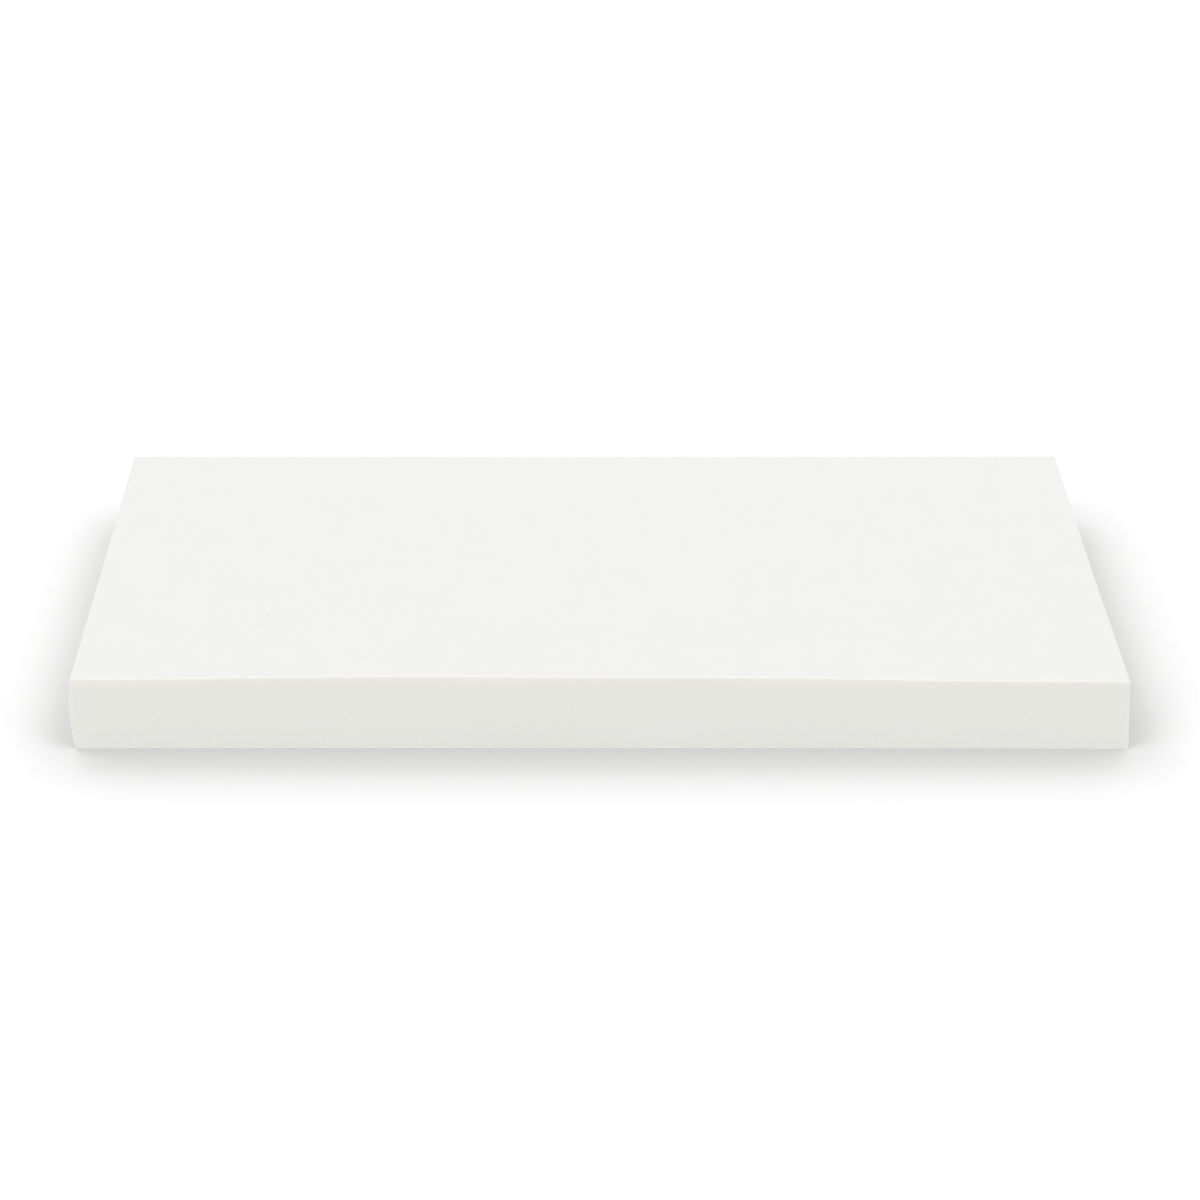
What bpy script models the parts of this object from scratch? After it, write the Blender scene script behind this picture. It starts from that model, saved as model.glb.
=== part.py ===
"""Memory foam mattress without a cover: a memory foam layer glued on a firmer foam base.

Both foam layers are cut to one outline and trimmed flush after they are glued, so the block has
small radii on its outer edges and a plain closed joint between the layers. The glue line lies in
a shallow bed a little way in from the edges, where the press has sunk it into the base.

Metres, +Z up. The origin is on the underside, below the middle of the mattress. +X runs along its
length, from the foot to the head.
"""

import bmesh
import bpy
from mathutils import Matrix

LENGTH = 2.000
WIDTH = 1.200
HEIGHT = 0.140
MEMORY_FOAM_THICKNESS = 0.040
EDGE_RADIUS = 0.003  # knife-cut foam, just off sharp
EDGE_SEGMENTS = 3
GLUE_THICKNESS = 0.0004
GLUE_MARGIN = 0.012  # bare foam round the glue line
CLEARANCE = 0.0003  # between pieces that touch

JOINT_HEIGHT = HEIGHT - MEMORY_FOAM_THICKNESS
CORE_TOP = JOINT_HEIGHT - CLEARANCE
BED_DEPTH = GLUE_THICKNESS + CLEARANCE
BED_MARGIN = GLUE_MARGIN - CLEARANCE
CUTTER_RISE = 0.010  # how far the bed's cutter stands above the base


def clear_scene():
    for obj in list(bpy.data.objects):
        bpy.data.objects.remove(obj, do_unlink=True)


def new_collection(name):
    collection = bpy.data.collections.new(name)
    bpy.context.scene.collection.children.link(collection)
    return collection


def new_material(name, colour, roughness):
    material = bpy.data.materials.new(name)
    material.use_nodes = True
    shader = material.node_tree.nodes["Principled BSDF"]
    shader.inputs["Base Color"].default_value = (*colour, 1.0)
    shader.inputs["Roughness"].default_value = roughness
    shader.inputs["Metallic"].default_value = 0.0
    material.diffuse_color = (*colour, 1.0)
    return material


def round_edges(bm, is_rounded):
    """Rounds the edges that is_rounded picks."""
    bmesh.ops.bevel(
        bm,
        geom=[edge for edge in bm.edges if is_rounded(edge)],
        offset=EDGE_RADIUS,
        offset_type="OFFSET",
        segments=EDGE_SEGMENTS,
        profile=0.5,
        affect="EDGES",
    )


def slab(name, size, bottom, collection, is_rounded=None):
    """A box of this size whose underside is at the height bottom."""
    mesh = bpy.data.meshes.new(name)
    bm = bmesh.new()
    bmesh.ops.create_cube(bm, size=1.0, matrix=Matrix.Diagonal((*size, 1.0)))
    if is_rounded:
        round_edges(bm, is_rounded)
    bm.to_mesh(mesh)
    bm.free()
    obj = bpy.data.objects.new(name, mesh)
    obj.location.z = bottom + size[2] / 2
    collection.objects.link(obj)
    return obj


def below_the_joint(edge):
    """Every edge of the base but the four round its top."""
    return any(vertex.co.z < 0 for vertex in edge.verts)


def above_the_joint(edge):
    """Every edge of the top layer but the four round its underside."""
    return any(vertex.co.z > 0 for vertex in edge.verts)


def support_core(pieces, cutters):
    """The firmer base, with the glue line's bed pressed into its top."""
    core = slab("support_core", (LENGTH, WIDTH, CORE_TOP), 0.0, pieces, below_the_joint)
    core.data.materials.append(new_material("support_foam", (0.84, 0.84, 0.81), 0.95))
    bed = slab(
        "glue_bed_cutter",
        (LENGTH - 2 * BED_MARGIN, WIDTH - 2 * BED_MARGIN, BED_DEPTH + CUTTER_RISE),
        CORE_TOP - BED_DEPTH,
        cutters,
    )
    bed.hide_render = True
    bed.display_type = "WIRE"
    cut = core.modifiers.new("glue_bed", "BOOLEAN")
    cut.operation = "DIFFERENCE"
    cut.solver = "EXACT"
    cut.object = bed
    return core


def glue_line(pieces):
    """The dried laminating glue, one thin sheet in its bed."""
    size = (LENGTH - 2 * GLUE_MARGIN, WIDTH - 2 * GLUE_MARGIN, GLUE_THICKNESS)
    glue = slab("glue_line", size, CORE_TOP - GLUE_THICKNESS, pieces)
    glue.data.materials.append(new_material("laminating_glue", (0.78, 0.74, 0.62), 0.45))
    return glue


def memory_foam_layer(pieces):
    """The slow-recovery foam that is slept on."""
    size = (LENGTH, WIDTH, MEMORY_FOAM_THICKNESS)
    layer = slab("memory_foam_layer", size, JOINT_HEIGHT, pieces, above_the_joint)
    layer.data.materials.append(new_material("memory_foam", (0.86, 0.86, 0.83), 0.90))
    return layer


def build_mattress():
    clear_scene()
    pieces = new_collection("memory_foam_mattress")
    cutters = new_collection("cutters")
    origin = bpy.data.objects.new("mattress_origin", None)
    pieces.objects.link(origin)
    for piece in (support_core(pieces, cutters), glue_line(pieces), memory_foam_layer(pieces)):
        piece.parent = origin


build_mattress()
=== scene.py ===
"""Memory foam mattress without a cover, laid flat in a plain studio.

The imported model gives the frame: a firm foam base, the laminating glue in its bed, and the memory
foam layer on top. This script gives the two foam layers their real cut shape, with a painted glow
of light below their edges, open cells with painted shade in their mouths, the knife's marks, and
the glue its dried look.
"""

import math

import bmesh
import bpy
from mathutils import Matrix, Vector, noise


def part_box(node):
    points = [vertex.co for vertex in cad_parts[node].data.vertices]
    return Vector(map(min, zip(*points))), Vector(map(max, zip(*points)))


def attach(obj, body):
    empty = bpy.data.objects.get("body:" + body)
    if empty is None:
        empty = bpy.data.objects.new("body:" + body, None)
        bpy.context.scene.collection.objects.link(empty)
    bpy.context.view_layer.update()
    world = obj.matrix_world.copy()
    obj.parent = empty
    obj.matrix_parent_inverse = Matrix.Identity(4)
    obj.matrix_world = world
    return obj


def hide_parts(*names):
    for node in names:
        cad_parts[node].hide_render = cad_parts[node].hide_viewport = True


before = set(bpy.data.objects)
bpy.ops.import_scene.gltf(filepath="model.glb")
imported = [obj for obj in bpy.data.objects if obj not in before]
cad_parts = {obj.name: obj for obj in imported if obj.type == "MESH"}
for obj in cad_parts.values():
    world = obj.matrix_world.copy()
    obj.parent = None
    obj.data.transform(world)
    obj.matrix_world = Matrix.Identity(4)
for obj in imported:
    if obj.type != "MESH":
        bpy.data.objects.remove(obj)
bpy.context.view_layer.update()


# --- Support core -------------------------------------------------------------------------------
# The firm lower layer is high-resilience polyurethane foam. A band knife splits it from a long
# bun and trims its sides after the layers are glued, so its faces are nearly flat, with crisp
# edges. The laminating press sinks the glue's bed a little into its top.

core_low, core_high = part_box("support_core")
layer_low, layer_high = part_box("memory_foam_layer")
glue_low, glue_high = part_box("glue_line")

UNDERSIDE = core_low.z
JOINT = layer_low.z  # the two foams touch here
TOP = layer_high.z
HALF_LENGTH = layer_high.x
HALF_WIDTH = layer_high.y

EDGE_RADIUS = 0.0015  # knife-cut foam, just off sharp
EDGE_SEGMENTS = 4
COLUMN = 0.020  # the spacing of the core's rows and columns of faces
BED_CLEARANCE = 0.0003  # round and below the glue
LEVEL_TOLERANCE = 1e-6
NEAR_PORES = ((-0.045, 0.086, 0.0016), (-0.026, 0.078, 0.0014))  # along, up, width
SIDE_PORE_DEPTH = 0.9  # of the pore's width, as are the next two
PORE_STEP = 0.14
PORE_RIPPLE_LENGTH = 0.6
PORE_RIPPLE = 0.35  # of its radius
TOP_FOAM = (0.860, 0.863, 0.850)
SIDE_FOAM_PAINTED_WARM = (0.860, 0.863, 0.822)  # warmer than the top: painted light that has come through the foam
CORE_CELL = 0.0012
CORE_BUBBLE_SPACING = 0.024

END_SWELL = 0.0055  # the foot end bulges at mid height
END_LEAN = 0.0042  # towards the near side both ends are cut out of square by this
END_REACH = 0.060  # how far in from an end its bulge and lean die away
SIDE_HOLLOW = 0.0025  # the long sides draw in between their corners
HEAD_HOLLOW = 0.0020  # and so does the head end
SIDE_WAVE = 0.0012
SIDE_WAVE_LENGTH = 0.30


def smooth_step(low, high, value):
    share = min(max((value - low) / (high - low), 0.0), 1.0)
    return share * share * (3 - 2 * share)


def ripple(place, length, height):
    """A slow unevenness of the knife's path, of this wavelength and height, in metres."""
    return height * noise.noise(place / length)


def settled(place):
    """Where the block's true, slightly uneven shape puts a point of the square block."""
    x, y, z = place
    level = (z - UNDERSIDE) / (TOP - UNDERSIDE)
    belly = math.sin(math.pi * level)
    near_foot = smooth_step(-HALF_LENGTH + END_REACH, -HALF_LENGTH, x)
    near_head = smooth_step(HALF_LENGTH - END_REACH, HALF_LENGTH, x)
    along = x / HALF_LENGTH
    across = y / HALF_WIDTH
    nearness = (1 - across) / 2
    moved = Vector(place)
    moved.x -= END_SWELL * belly * near_foot
    moved.x -= END_LEAN * (level - 0.5) * nearness * (near_foot + near_head)
    moved.x -= HEAD_HOLLOW * (1 - across * across) * near_head
    moved.y -= SIDE_HOLLOW * (1 - along**4) * across**3
    on_a_side = max(abs(across), abs(along)) > 0.999
    if on_a_side:
        outwards = Vector((along**9, across**9, 0.0))
        moved += ripple(place, SIDE_WAVE_LENGTH, SIDE_WAVE) * outwards * belly
    return moved


def runs_along(edge, axis):
    """True for a straight edge along this axis, and not for those within a rounded corner."""
    run = edge.verts[1].co - edge.verts[0].co
    return abs(run[axis]) > 2 * EDGE_RADIUS and abs(run[axis]) > 0.99 * run.length


def plain_block(low, high):
    """A square-edged box between two corners."""
    bm = bmesh.new()
    middle = Matrix.Translation((low + high) / 2)
    bmesh.ops.create_cube(bm, size=1.0, matrix=middle @ Matrix.Diagonal((*(high - low), 1.0)))
    return bm


def round_off(bm, edges):
    bmesh.ops.bevel(
        bm,
        geom=edges,
        offset=EDGE_RADIUS,
        offset_type="OFFSET",
        segments=EDGE_SEGMENTS,
        profile=0.5,
        affect="EDGES",
        material=-1,
    )


def divide(bm, spacing):
    """Cuts the faces into columns and rows of about this spacing along X, Y and Z."""
    for axis, step in enumerate(spacing):
        runs = [edge for edge in bm.edges if runs_along(edge, axis)]
        longest = max(edge.calc_length() for edge in runs)
        bmesh.ops.subdivide_edges(bm, edges=runs, cuts=round(longest / step) - 1)


def pit(bm, place, width, depth):
    """A burst bubble: opens the cut face nearest to this place into a small, uneven bowl."""
    face = min(bm.faces, key=lambda face: (face.calc_center_median() - place).length)
    room = min(edge.calc_length() for edge in face.edges)
    bmesh.ops.inset_individual(bm, faces=[face], thickness=(room - width) / 2, use_even_offset=True)
    for _ in range(2):  # two halvings give the square mouth 16 points
        for edge in list(face.edges):
            bmesh.utils.edge_split(edge, edge.verts[0], 0.5)
    middle = face.calc_center_median()
    for vertex in face.verts:
        arm = (vertex.co - middle).normalized() * width / 2
        unevenness = ripple(place + arm, PORE_RIPPLE_LENGTH * width, PORE_RIPPLE)
        vertex.co = place + arm * (1 + unevenness)
    for share_of_depth in (0.7, 0.3):
        step_in = PORE_STEP * width
        step_down = share_of_depth * depth
        bmesh.ops.inset_individual(bm, faces=[face], thickness=step_in, depth=-step_down)


def soften(bm):
    """Shades smoothly, but keeps each cut face's own normals up to where its edge is rounded."""
    bm.normal_update()
    flat = {face for face in bm.faces if max(abs(part) for part in face.normal) > 0.9999}
    for face in bm.faces:
        face.smooth = True
    for edge in bm.edges:
        is_one_kind = len({face in flat for face in edge.link_faces}) == 1
        edge.smooth = is_one_kind and edge.calc_face_angle() < math.radians(40)


def note_depth(bm):
    """Keeps each point's depth under the top of the square block, for the painted glow below the edge.
    """
    depth = bm.verts.layers.float.new("below_top")
    for vertex in bm.verts:
        vertex[depth] = TOP - vertex.co.z


def finished(bm, name, material):
    bmesh.ops.recalc_face_normals(bm, faces=bm.faces)
    mesh = bpy.data.meshes.new(name)
    bm.to_mesh(mesh)
    bm.free()
    mesh.materials.append(material)
    piece = bpy.data.objects.new(name, mesh)
    bpy.context.scene.collection.objects.link(piece)
    return piece


def new_group(name, inputs, outputs):
    """An empty shader node group with these named sockets, each (name, type, default)."""
    group = bpy.data.node_groups.new(name, "ShaderNodeTree")
    for socket_name, kind, default in inputs:
        socket = group.interface.new_socket(socket_name, in_out="INPUT", socket_type=kind)
        if default is not None:
            socket.default_value = default
    for socket_name, kind in outputs:
        group.interface.new_socket(socket_name, in_out="OUTPUT", socket_type=kind)
    entry = group.nodes.new("NodeGroupInput")
    leave = group.nodes.new("NodeGroupOutput")
    return group, entry, leave


def maths(tree, operation, *values, clamp=False):
    """A Math node whose inputs are sockets or plain numbers. Returns its output."""
    node = tree.nodes.new("ShaderNodeMath")
    node.operation = operation
    node.use_clamp = clamp
    for socket, value in zip(node.inputs, values):
        if isinstance(value, (int, float)):
            socket.default_value = value
        else:
            tree.links.new(value, socket)
    return node.outputs[0]


def tint(tree, share, first, second, blend="MIX"):
    """A colour Mix node between two colours or colour sockets. Returns its output."""
    node = tree.nodes.new("ShaderNodeMix")
    node.data_type = "RGBA"
    node.blend_type = blend
    for socket, value in ((node.inputs[0], share), (node.inputs[6], first), (node.inputs[7], second)):
        if isinstance(value, (int, float)):
            socket.default_value = value
        elif isinstance(value, tuple):
            socket.default_value = (*value, 1.0)
        else:
            tree.links.new(value, socket)
    return node.outputs[2]


SMALL_CELL = 0.43  # of a full cell's size
SMALL_CELL_SHARE = 0.45
CELL_DEPTH = 0.69
MOUTH_LEVEL = 0.85  # the cells' mouths are where the net is deeper than this


def open_cell_group():
    """The net of broken cells on a cut foam face: a height, and a mask of the cell mouths."""
    group, entry, leave = new_group(
        "open_cells",
        [("Place", "NodeSocketVector", None), ("Cell Size", "NodeSocketFloat", 0.001)],
        [("Height", "NodeSocketFloat"), ("Mouths", "NodeSocketFloat")],
    )
    place = entry.outputs["Place"]
    count = maths(group, "DIVIDE", 1.0, entry.outputs["Cell Size"])
    mouths = []
    for share_of_size in (1.0, SMALL_CELL):
        cells = group.nodes.new("ShaderNodeTexVoronoi")
        cells.feature = "SMOOTH_F1"
        cells.inputs["Smoothness"].default_value = 0.35
        group.links.new(place, cells.inputs["Vector"])
        group.links.new(maths(group, "DIVIDE", count, share_of_size), cells.inputs["Scale"])
        mouths.append(maths(group, "SUBTRACT", 1.0, cells.outputs["Distance"], clamp=True))
    both = maths(group, "MULTIPLY_ADD", mouths[1], SMALL_CELL_SHARE, mouths[0])
    group.links.new(maths(group, "MULTIPLY", both, -CELL_DEPTH), leave.inputs["Height"])
    below_rim = maths(group, "SUBTRACT", both, MOUTH_LEVEL, clamp=True)
    group.links.new(below_rim, leave.inputs["Mouths"])
    return group


def burst_bubble_group():
    """Sparse larger bubbles that the knife has cut open: a mask of each hole."""
    group, entry, leave = new_group(
        "burst_bubbles",
        [
            ("Place", "NodeSocketVector", None),
            ("Spacing", "NodeSocketFloat", 0.02),
            ("Bubble Size", "NodeSocketFloat", 0.0015),
        ],
        [("Holes", "NodeSocketFloat")],
    )
    bubbles = group.nodes.new("ShaderNodeTexVoronoi")
    bubbles.feature = "F1"
    group.links.new(entry.outputs["Place"], bubbles.inputs["Vector"])
    count = maths(group, "DIVIDE", 1.0, entry.outputs["Spacing"])
    group.links.new(count, bubbles.inputs["Scale"])
    chance = group.nodes.new("ShaderNodeSeparateColor")
    group.links.new(bubbles.outputs["Color"], chance.inputs[0])
    radius = maths(group, "MULTIPLY", entry.outputs["Bubble Size"], count)
    radius = maths(group, "MULTIPLY", radius, chance.outputs["Red"])
    inside = maths(group, "DIVIDE", bubbles.outputs["Distance"], maths(group, "MAXIMUM", radius, 0.001))
    group.links.new(maths(group, "SUBTRACT", 1.0, inside, clamp=True), leave.inputs["Holes"])
    return group


def knife_mark_group():
    """Faint lines that the band knife leaves across its feed, in uneven spacing."""
    group, entry, leave = new_group(
        "knife_marks",
        [("Place", "NodeSocketVector", None), ("Spacing", "NodeSocketFloat", 0.01)],
        [("Marks", "NodeSocketFloat")],
    )
    stretched = group.nodes.new("ShaderNodeMapping")
    stretched.inputs["Scale"].default_value = (1.0, 0.1, 0.1)
    group.links.new(entry.outputs["Place"], stretched.inputs["Vector"])
    count = maths(group, "DIVIDE", 1.0, entry.outputs["Spacing"])
    lines = group.nodes.new("ShaderNodeTexNoise")
    lines.inputs["Detail"].default_value = 3.0
    group.links.new(stretched.outputs[0], lines.inputs["Vector"])
    group.links.new(count, lines.inputs["Scale"])
    group.links.new(maths(group, "SUBTRACT", lines.outputs["Fac"], 0.5), leave.inputs["Marks"])
    return group


def painted_edge_glow_group():
    """Painted light: the sides are painted warmer than the top, for light that soaks in from above and
    comes out of them again, lighter close under the top edge, and yellower further down, where it has
    come a longer way."""
    group, entry, leave = new_group(
        "painted_edge_glow",
        [
            ("Top", "NodeSocketColor", None),
            ("Side", "NodeSocketColor", None),
            ("Close", "NodeSocketColor", None),
            ("Further", "NodeSocketColor", None),
            ("Depth", "NodeSocketFloat", 0.0),
            ("Edge Radius", "NodeSocketFloat", EDGE_RADIUS),
            ("Close Reach", "NodeSocketFloat", 0.0075),
            ("Further Reach", "NodeSocketFloat", 0.027),
        ],
        [("Color", "NodeSocketColor")],
    )
    depth = entry.outputs["Depth"]
    on_side = maths(group, "DIVIDE", depth, entry.outputs["Edge Radius"], clamp=True)
    colour = tint(group, on_side, entry.outputs["Top"], entry.outputs["Side"])
    for name in ("Further", "Close"):
        lengths = maths(group, "DIVIDE", depth, entry.outputs[name + " Reach"])
        fade = maths(group, "EXPONENT", maths(group, "MULTIPLY", lengths, -1.0))
        colour = tint(group, maths(group, "MULTIPLY", fade, on_side), colour, entry.outputs[name])
    group.links.new(colour, leave.inputs["Color"])
    return group


OPEN_CELLS = open_cell_group()
BURST_BUBBLES = burst_bubble_group()
KNIFE_MARKS = knife_mark_group()
PAINTED_EDGE_GLOW = painted_edge_glow_group()


def use_group(tree, group, **values):
    """Places a group, with its inputs set or linked by name, spaces written as underscores."""
    node = tree.nodes.new("ShaderNodeGroup")
    node.node_tree = group
    for name, value in values.items():
        socket = node.inputs[name.replace("_", " ")]
        if isinstance(value, (int, float)):
            socket.default_value = value
        elif isinstance(value, tuple):
            socket.default_value = (*value, 1.0)
        else:
            tree.links.new(value, socket)
    return node


def scaled(colour, factors):
    return tuple(part * factor for part, factor in zip(colour, factors))


# Painted light on the sides: a lighter band close under the top edge, a yellower one further down.
PAINTED_CLOSE_GLOW = (1.064, 1.048, 1.037)  # painted lighter band close under the top edge, of the sides' colour
PAINTED_FURTHER_GLOW = (0.982, 0.973, 0.942)
MARK_SPACING = 0.014
BUBBLE_SIZE = 0.0016
MOTTLE_SHADE = 0.010  # how much each pattern lightens the colour, or darkens it where below 0; mouths and holes are painted shade
MARK_SHADE = 0.008
MOUTH_PAINTED_SHADE = -0.47
HOLE_PAINTED_SHADE = -0.16


def foam_material(name, top, side, cell_size, bubble_spacing, roughness):
    """Matte open-cell foam: its cells, burst bubbles, knife marks, mottling, painted shade in the
    cells' mouths and bubbles' holes, and a painted glow below the top edge.
    """
    material = bpy.data.materials.new(name)
    material.use_nodes = True
    tree = material.node_tree
    shader = tree.nodes["Principled BSDF"]
    shader.inputs["Roughness"].default_value = roughness
    shader.inputs["Specular IOR Level"].default_value = 0.2
    place = tree.nodes.new("ShaderNodeTexCoord").outputs["Object"]
    below_top = tree.nodes.new("ShaderNodeAttribute")
    below_top.attribute_name = "below_top"
    # Painted light: the sides' warmer colour and the glow under the top edge.
    painted_glow = use_group(
        tree,
        PAINTED_EDGE_GLOW,
        Top=top,
        Side=side,
        Close=scaled(side, PAINTED_CLOSE_GLOW),
        Further=scaled(side, PAINTED_FURTHER_GLOW),
        Depth=below_top.outputs["Fac"],
    )
    cells = use_group(tree, OPEN_CELLS, Place=place, Cell_Size=cell_size)
    bubbles = use_group(
        tree, BURST_BUBBLES, Place=place, Spacing=bubble_spacing, Bubble_Size=BUBBLE_SIZE
    )
    marks = use_group(tree, KNIFE_MARKS, Place=place, Spacing=MARK_SPACING)
    mottle = tree.nodes.new("ShaderNodeTexNoise")
    mottle.inputs["Scale"].default_value = 8.0
    mottle.inputs["Detail"].default_value = 5.0
    tree.links.new(place, mottle.inputs["Vector"])
    even = 1 - MOTTLE_SHADE / 2
    shade = maths(tree, "MULTIPLY_ADD", mottle.outputs["Fac"], MOTTLE_SHADE, even)
    shade = maths(tree, "MULTIPLY_ADD", marks.outputs["Marks"], MARK_SHADE, shade)
    # Painted shade in the cells' mouths and the bubbles' holes.
    shade = maths(tree, "MULTIPLY_ADD", cells.outputs["Mouths"], MOUTH_PAINTED_SHADE, shade)
    shade = maths(tree, "MULTIPLY_ADD", bubbles.outputs["Holes"], HOLE_PAINTED_SHADE, shade)
    grey = tree.nodes.new("ShaderNodeCombineColor")
    for channel in grey.inputs[:3]:
        tree.links.new(shade, channel)
    shaded = tint(tree, 1.0, painted_glow.outputs["Color"], grey.outputs[0], blend="MULTIPLY")
    tree.links.new(shaded, shader.inputs["Base Color"])
    hollows = maths(tree, "MULTIPLY_ADD", bubbles.outputs["Holes"], -2.0, cells.outputs["Height"])
    bump = tree.nodes.new("ShaderNodeBump")
    bump.inputs["Strength"].default_value = 0.6
    bump.inputs["Distance"].default_value = 0.0003
    tree.links.new(hollows, bump.inputs["Height"])
    tree.links.new(bump.outputs["Normal"], shader.inputs["Normal"])
    return material


core_bm = plain_block(core_low, Vector((core_high.x, core_high.y, JOINT)))
uprights = [edge for edge in core_bm.edges if runs_along(edge, 2)]
round_off(core_bm, uprights)
core_top = [
    face for face in core_bm.faces if face.calc_center_median().z > JOINT - LEVEL_TOLERANCE
]
bed_margin = HALF_LENGTH - glue_high.x - BED_CLEARANCE
bmesh.ops.inset_region(core_bm, faces=core_top, thickness=bed_margin, use_even_offset=True)
sunk = bmesh.ops.extrude_face_region(core_bm, geom=core_top)
bmesh.ops.delete(core_bm, geom=core_top, context="FACES")
bed_floor = [item for item in sunk["geom"] if isinstance(item, bmesh.types.BMVert)]
bmesh.ops.translate(core_bm, vec=(0, 0, glue_low.z - BED_CLEARANCE - JOINT), verts=bed_floor)
divide(core_bm, (COLUMN, COLUMN, COLUMN))
for along, up, width in NEAR_PORES:
    pit(core_bm, Vector((along, -HALF_WIDTH, up)), width, SIDE_PORE_DEPTH * width)
soften(core_bm)
note_depth(core_bm)
for vertex in core_bm.verts:
    vertex.co = settled(vertex.co)
support_material = foam_material(
    "support_foam", TOP_FOAM, SIDE_FOAM_PAINTED_WARM, CORE_CELL, CORE_BUBBLE_SPACING, roughness=0.95
)
support_core = finished(core_bm, "support_core_foam", support_material)
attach(support_core, "root")
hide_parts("support_core")


# --- Glue line ----------------------------------------------------------------------------------
# Water-based contact glue is rolled on the core in thin ribs and dries to a pale cream skin. It
# holds the two foams together and lies sealed between them.

glue_material = bpy.data.materials.new("laminating_glue")
glue_material.use_nodes = True
glue_tree = glue_material.node_tree
glue_shader = glue_tree.nodes["Principled BSDF"]
glue_place = glue_tree.nodes.new("ShaderNodeTexCoord").outputs["Object"]
ribs = glue_tree.nodes.new("ShaderNodeTexWave")
ribs.bands_direction = "Y"
ribs.inputs["Scale"].default_value = 40.0
ribs.inputs["Distortion"].default_value = 2.0
glue_tree.links.new(glue_place, ribs.inputs["Vector"])
glue_colour = tint(glue_tree, ribs.outputs["Fac"], (0.74, 0.69, 0.55), (0.80, 0.76, 0.64))
glue_tree.links.new(glue_colour, glue_shader.inputs["Base Color"])
glue_shader.inputs["Roughness"].default_value = 0.42
glue_bump = glue_tree.nodes.new("ShaderNodeBump")
glue_bump.inputs["Distance"].default_value = 0.0002
glue_tree.links.new(ribs.outputs["Fac"], glue_bump.inputs["Height"])
glue_tree.links.new(glue_bump.outputs["Normal"], glue_shader.inputs["Normal"])
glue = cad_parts["glue_line"]
glue.data.materials.clear()
glue.data.materials.append(glue_material)


# --- Memory foam layer --------------------------------------------------------------------------
# The layer that is slept on is slow-recovery foam with finer cells, split to an even thickness
# that still swells a few millimetres along the near side. It is glued down, then trimmed with the
# core, so both layers' sides are flush.

FINE_COLUMN = 0.010
SWELL = 0.0066  # how much thicker the layer is at the middle of its near side
SWELL_MIDDLE = -0.11
SWELL_HALF_LENGTH = 0.63
SWELL_REACH = 0.45  # how far in from the near side the swell dies away
TOP_PORES = ((-0.652, -0.292, 0.0048), (-0.666, -0.337, 0.0044))  # along, across, width
TOP_PORE_DEPTH = 1.2  # of the pore's width
TOP_WAVE = 0.0005
TOP_WAVE_LENGTH = 0.35
LAYER_CELL = 0.0009
LAYER_BUBBLE_SPACING = 0.030
# How far each corner of the sleeping surface stands above its nominal height.
CORNER_RISE = {"near_foot": 0.0036, "near_head": 0.0006, "far_foot": 0.0006, "far_head": 0.0042}


def rise(x, y):
    """How far the sleeping surface stands above its nominal height."""
    head = (x / HALF_LENGTH + 1) / 2
    far = (y / HALF_WIDTH + 1) / 2
    near_line = CORNER_RISE["near_foot"] * (1 - head) + CORNER_RISE["near_head"] * head
    far_line = CORNER_RISE["far_foot"] * (1 - head) + CORNER_RISE["far_head"] * head
    hump = SWELL * math.exp(-(((x - SWELL_MIDDLE) / SWELL_HALF_LENGTH) ** 4))
    fade = math.exp(-((far * 2 * HALF_WIDTH / SWELL_REACH) ** 2))
    waves = ripple(Vector((x, y, 0.3)), TOP_WAVE_LENGTH, TOP_WAVE)
    return near_line * (1 - far) + far_line * far + hump * fade + waves


layer_bm = plain_block(Vector((layer_low.x, layer_low.y, JOINT)), layer_high)
cut_edges = [
    edge
    for edge in layer_bm.edges
    if max(vertex.co.z for vertex in edge.verts) > JOINT + LEVEL_TOLERANCE
]
round_off(layer_bm, cut_edges)
divide(layer_bm, (FINE_COLUMN, FINE_COLUMN, FINE_COLUMN))
for along, across, width in TOP_PORES:
    pit(layer_bm, Vector((along, across, TOP)), width, TOP_PORE_DEPTH * width)
soften(layer_bm)
note_depth(layer_bm)
for vertex in layer_bm.verts:
    lifted = settled(vertex.co)
    share = (vertex.co.z - JOINT) / (TOP - JOINT)
    lifted.z += rise(vertex.co.x, vertex.co.y) * share
    vertex.co = lifted
memory_material = foam_material(
    "memory_foam", TOP_FOAM, SIDE_FOAM_PAINTED_WARM, LAYER_CELL, LAYER_BUBBLE_SPACING, roughness=0.90
)
memory_layer = finished(layer_bm, "memory_foam_slab", memory_material)
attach(memory_layer, "root")
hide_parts("memory_foam_layer")


# --- Studio -------------------------------------------------------------------------------------
# A plain pale floor that runs out of view. Broad lamps all round light only the floor, so the
# mattress stands in its own soft shade, and another set lights only the foam, evenly.

FLOOR_SIDE = 160.0
FLOOR_GAP = 0.0001
FLOOR_COLOUR = (0.50, 0.50, 0.50)
FLOOR_BOUNCE = (0.15, 0.15, 0.15)  # for light bounced on to the foam, whose sides stay even
floor_bm = bmesh.new()
bmesh.ops.create_grid(floor_bm, x_segments=1, y_segments=1, size=FLOOR_SIDE / 2)
floor_mesh = bpy.data.meshes.new("studio_floor")
floor_bm.to_mesh(floor_mesh)
floor_bm.free()
floor = bpy.data.objects.new("studio_floor", floor_mesh)
floor.location.z = UNDERSIDE - FLOOR_GAP
bpy.context.scene.collection.objects.link(floor)
floor_material = bpy.data.materials.new("pale_floor")
floor_material.use_nodes = True
floor_tree = floor_material.node_tree
floor_shader = floor_tree.nodes["Principled BSDF"]
floor_shader.inputs["Roughness"].default_value = 1.0
floor_shader.inputs["Specular IOR Level"].default_value = 0.0
seen_by = floor_tree.nodes.new("ShaderNodeLightPath")
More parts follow.
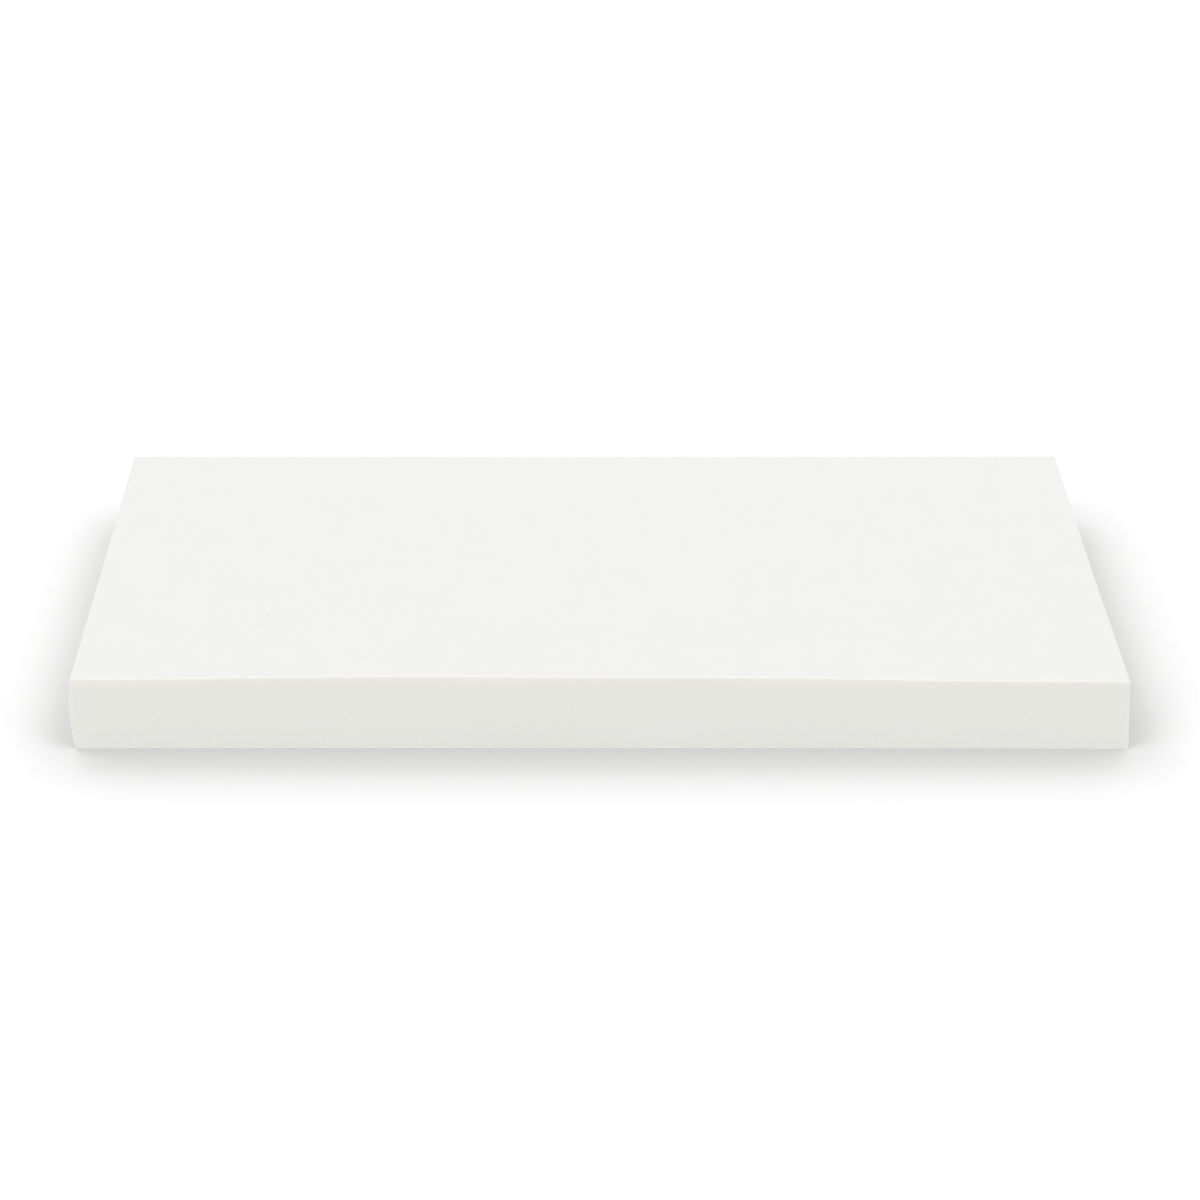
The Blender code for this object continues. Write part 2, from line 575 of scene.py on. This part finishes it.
floor_colour = tint(floor_tree, seen_by.outputs["Is Diffuse Ray"], FLOOR_COLOUR, FLOOR_BOUNCE)
floor_tree.links.new(floor_colour, floor_shader.inputs["Base Color"])
floor_mesh.materials.append(floor_material)

floor_only = bpy.data.collections.new("lit_floor")
floor_only.objects.link(floor)
foam_only = bpy.data.collections.new("lit_foam")
foam_only.objects.link(support_core)
foam_only.objects.link(memory_layer)


def lamp(name, bearing, height, breadth, strength, lit):
    """A broad, far lamp that lights one set of objects. The bearing runs from behind towards the
    head end. Bearing, height and breadth are in degrees."""
    light = bpy.data.lights.new(name, "SUN")
    light.angle = math.radians(breadth)
    light.energy = strength * math.pi
    source = bpy.data.objects.new(name, light)
    across, up = math.radians(bearing), math.radians(height)
    towards = Vector((math.sin(across) * math.cos(up), math.cos(across) * math.cos(up), math.sin(up)))
    source.rotation_euler = towards.to_track_quat("Z", "Y").to_euler()
    source.light_linking.receiver_collection = lit
    bpy.context.scene.collection.objects.link(source)


lamp("floor_behind", 0, 35, 50, 0.60, floor_only)
lamp("floor_behind_foot", 315, 40, 45, 0.43, floor_only)
lamp("floor_behind_head", 45, 40, 45, 0.28, floor_only)
lamp("floor_near_foot", 230, 38, 50, 0.51, floor_only)
lamp("floor_near_head", 130, 38, 50, 0.35, floor_only)
lamp("floor_high_foot", 270, 62, 40, 0.15, floor_only)
lamp("floor_high_head", 90, 62, 40, 0.24, floor_only)
lamp("foam_above", 0, 90, 70, 0.328, foam_only)
lamp("foam_near", 180, 12, 22, 0.545, foam_only)
lamp("foam_behind", 0, 12, 22, 0.42, foam_only)
lamp("foam_foot", 270, 12, 22, 0.29, foam_only)
lamp("foam_head", 90, 12, 22, 0.29, foam_only)

world = bpy.data.worlds.new("studio")
world.use_nodes = True
bpy.context.scene.world = world
world_tree = world.node_tree
ambient = world_tree.nodes["Background"]
ambient.inputs["Color"].default_value = (1.0, 1.0, 1.0, 1.0)
ambient.inputs["Strength"].default_value = 0.4
backdrop = world_tree.nodes.new("ShaderNodeBackground")
backdrop.inputs["Color"].default_value = (1.0, 1.0, 1.0, 1.0)
backdrop.inputs["Strength"].default_value = 1.05
either = world_tree.nodes.new("ShaderNodeMixShader")
world_tree.links.new(
    world_tree.nodes.new("ShaderNodeLightPath").outputs["Is Camera Ray"], either.inputs[0]
)
world_tree.links.new(ambient.outputs[0], either.inputs[1])
world_tree.links.new(backdrop.outputs[0], either.inputs[2])
world_tree.links.new(either.outputs[0], world_tree.nodes["World Output"].inputs["Surface"])
bpy.context.scene.view_settings.view_transform = "Standard"


# --- Camera -------------------------------------------------------------------------------------
# A long lens in front of the near side, looking down on the mattress.

camera_data = bpy.data.cameras.new("camera")
camera_data.sensor_width = 36.0
camera_data.lens = 114.8
camera = bpy.data.objects.new("camera", camera_data)
camera.location = (-0.0978, -7.1924, 3.0669)
look_down, look_right, roll = (math.radians(angle) for angle in (22.719, 0.806, 0.359))
turn = Matrix.Rotation(-look_right, 4, "Z") @ Matrix.Rotation(math.pi / 2 - look_down, 4, "X")
camera.rotation_euler = (turn @ Matrix.Rotation(roll, 4, "Z")).to_euler()
bpy.context.scene.collection.objects.link(camera)
bpy.context.scene.camera = camera
